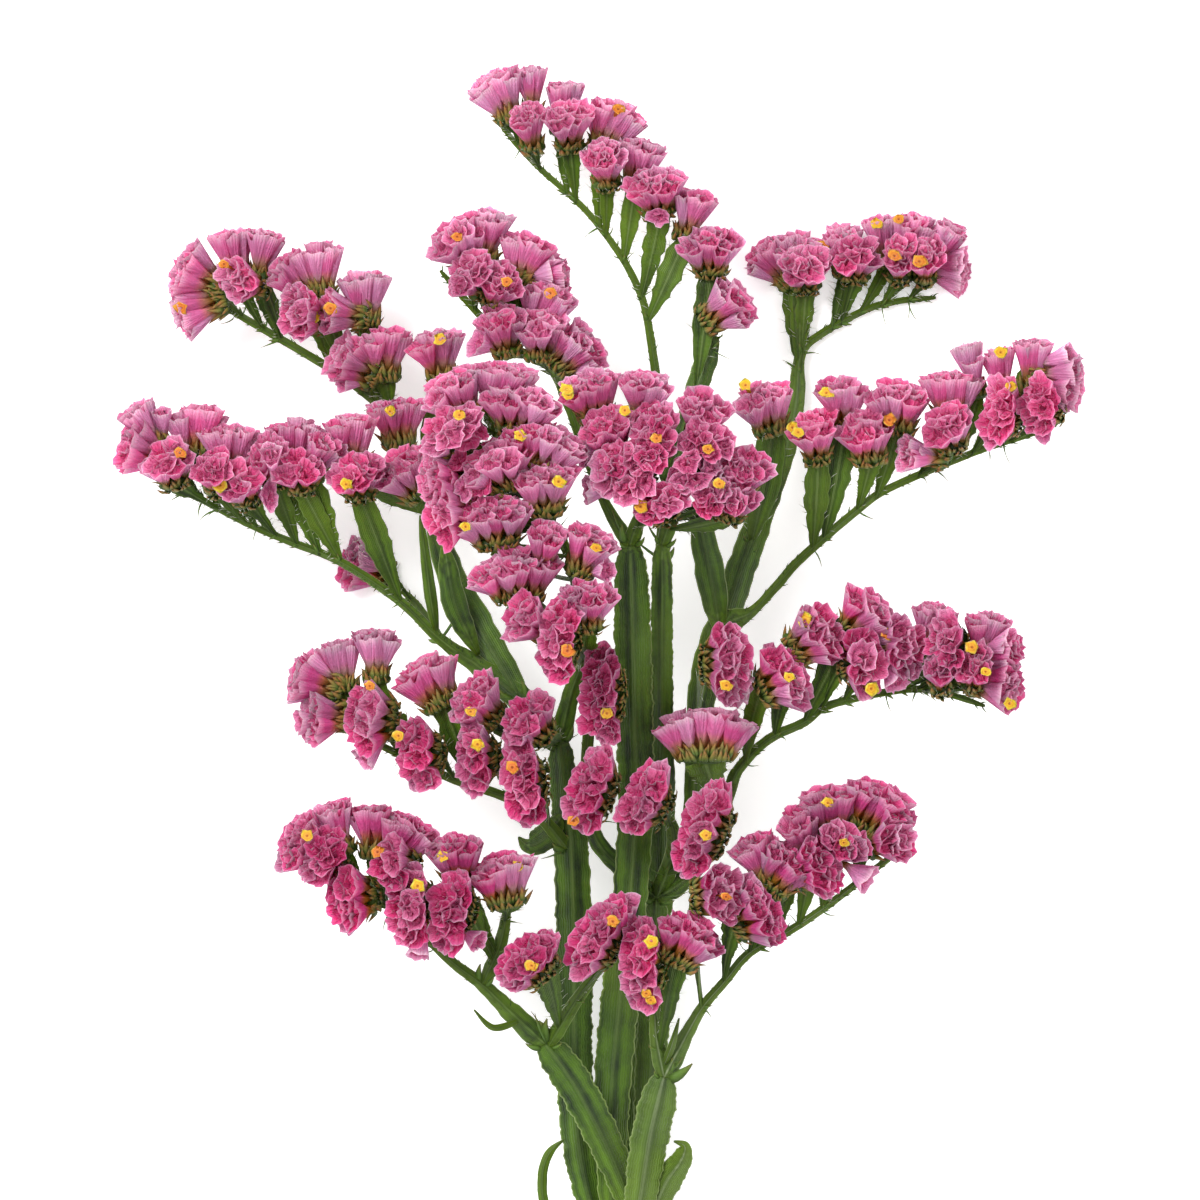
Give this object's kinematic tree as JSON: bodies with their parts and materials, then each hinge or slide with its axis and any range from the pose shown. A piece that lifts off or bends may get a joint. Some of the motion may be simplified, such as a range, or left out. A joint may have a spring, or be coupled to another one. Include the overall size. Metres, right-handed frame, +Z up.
{
  "type": "dried statice bunch",
  "caption": "Bunch of pink winged statice lying on its back: forked winged stems with one-sided sprays of papery cups, tied with twine.",
  "frame": {"origin": "middle of the whole bunch's box seen from above, at the height of the surface it lies on", "axes": "+Z up from that surface, +Y from the cut ends to the flower heads, +X to the right seen from above"},
  "size_m": [0.2924, 0.462, 0.0914],
  "materials": {
    "petals": "matte",
    "greens": "matte",
    "corollas": "matte",
    "twine": "matte"
  },
  "bodies": {
    "root": {"stem_front_right": "petals", "stem_front_left": "petals", "stem_centre": "petals", "stem_left": "petals", "stem_right": "petals", "stem_back": "petals", "tie": "twine"}
  },
  "joints": []
}
